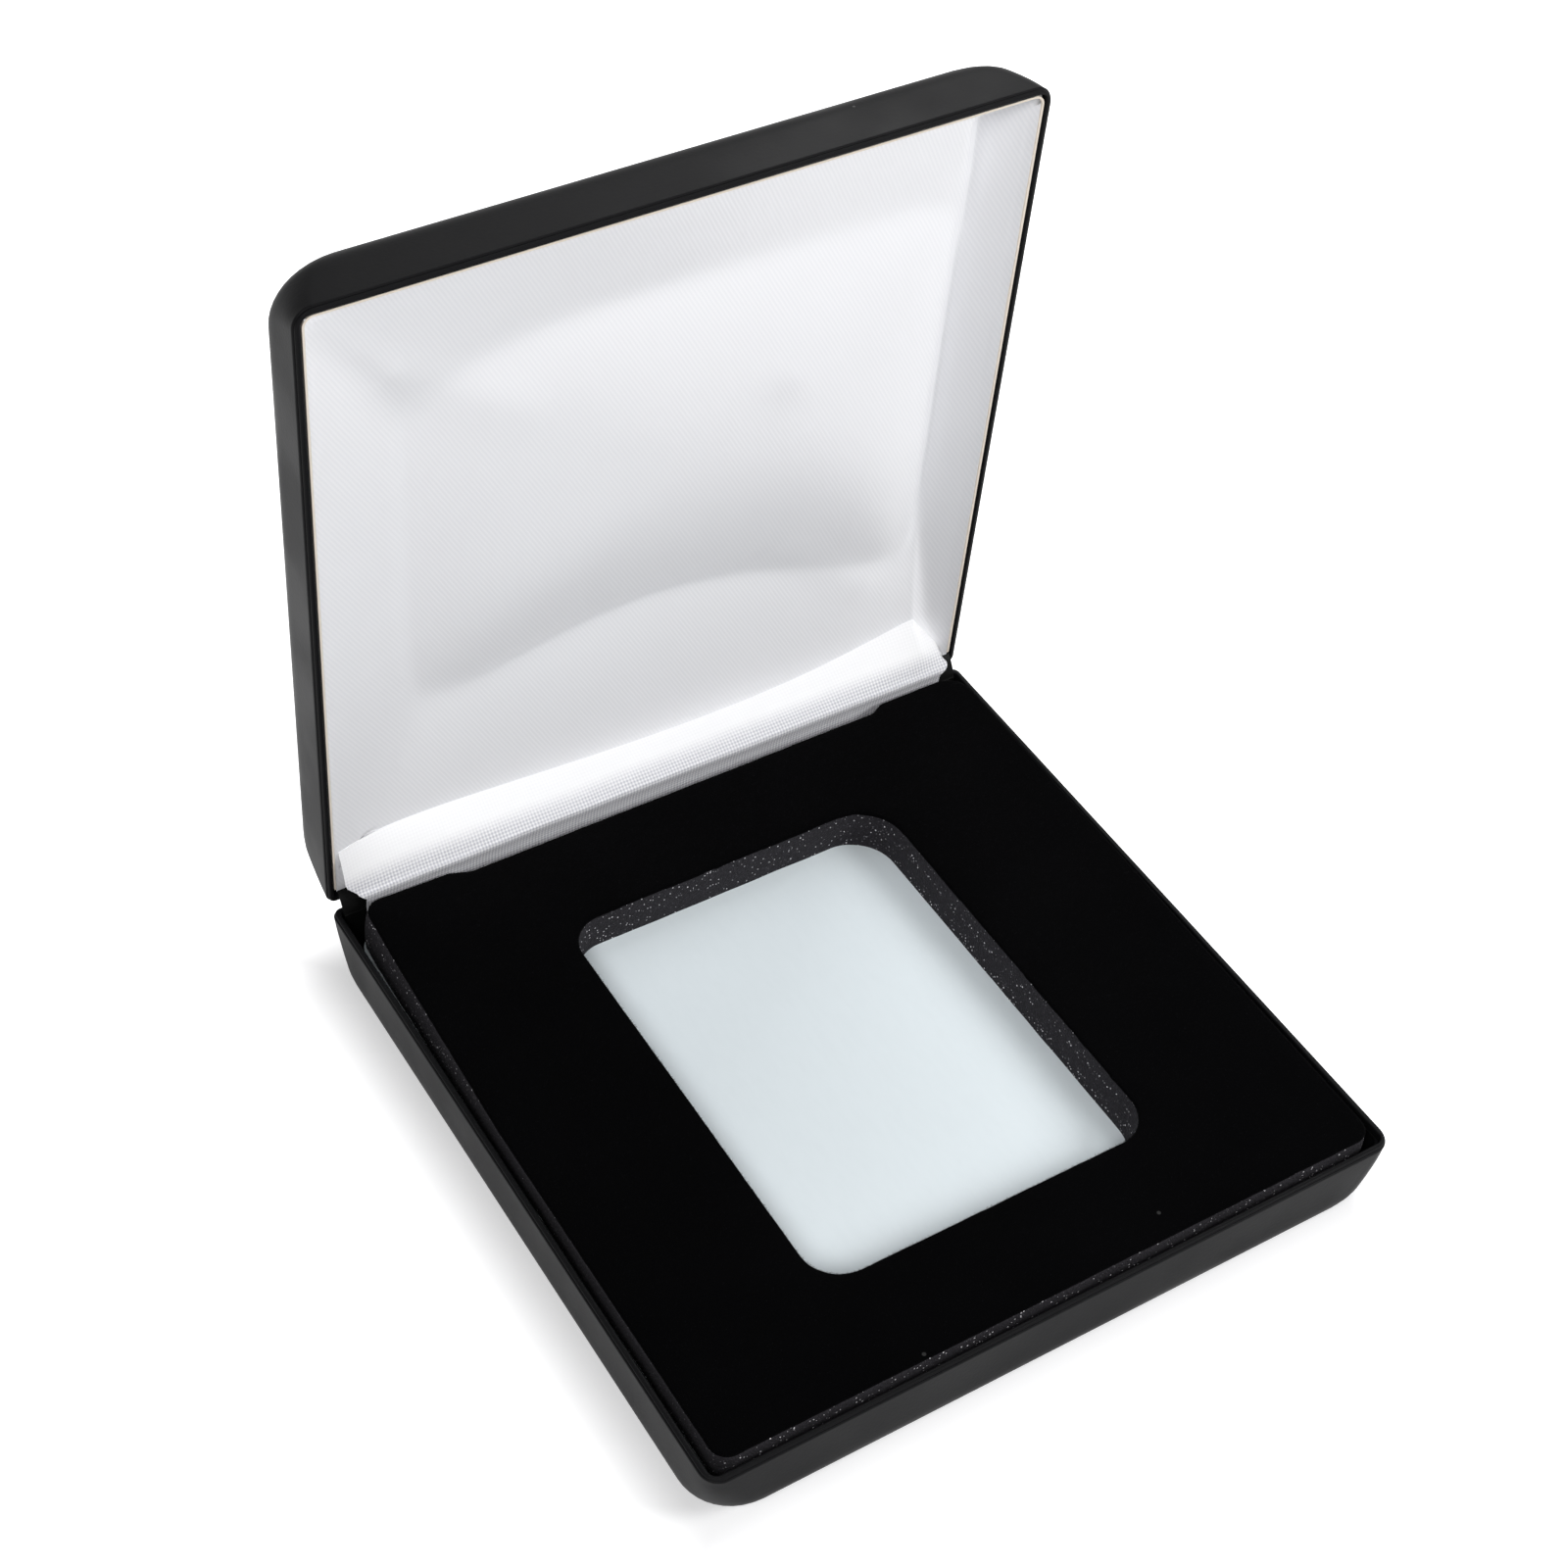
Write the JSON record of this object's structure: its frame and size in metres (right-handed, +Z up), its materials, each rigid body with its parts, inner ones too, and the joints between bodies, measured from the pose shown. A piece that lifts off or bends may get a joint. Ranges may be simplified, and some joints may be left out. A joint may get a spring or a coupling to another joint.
{
  "type": "coin display case",
  "caption": "Square black clamshell display case standing open: velvet-topped foam with a recess for a slabbed coin, padded white satin lid on a full-width back hinge.",
  "frame": {"origin": "centre of the base tray's flat underside", "axes": "+Z up; +X to the right along the hinge, seen from the front; +Y from the front edge back to the hinge"},
  "size_m": [0.132, 0.1462, 0.1484],
  "materials": {
    "shell": "smooth satin black lacquer",
    "frame": "semi-gloss black lacquer",
    "foam": "cut black polyethylene foam with glinting cells",
    "card": "matt white liner card with fine fibres",
    "velvet": "deep black velvet pile",
    "steel": "plain drawn steel",
    "spring": "blackened spring steel",
    "ribbon": "white ribbed satin ribbon",
    "card_edge": "raw cream card edge",
    "board": "plain grey-white board",
    "wadding": "white polyester wadding",
    "satin": "white polyester satin with a fine diagonal twill"
  },
  "bodies": {
    "base": {"base_shell": "shell", "base_rim_frame": "frame", "support_foam": "foam", "liner_card": "card", "foam_insert": "foam", "velvet_face": "velvet", "base_hinge_leaf": "frame", "hinge_pin": "steel", "base_rivets": "steel", "snap_spring": "spring", "hinge_flap": "ribbon"},
    "lid": {"lid_shell": "shell", "lid_rim_frame": "frame", "lid_hinge_leaf": "frame", "lid_rivets": "steel", "lining_card": "card_edge", "pad_board": "board", "pad_wadding": "wadding", "satin_lining": "satin"}
  },
  "joints": [
    {"name": "lid_hinge", "type": "hinge", "parent": "base", "child": "lid", "pos_m": [0, 0.0665, 0.0156], "axis": [1, 0, 0], "range_deg": [0, 86.5], "deforming": ["snap_spring", "hinge_flap"]}
  ]
}
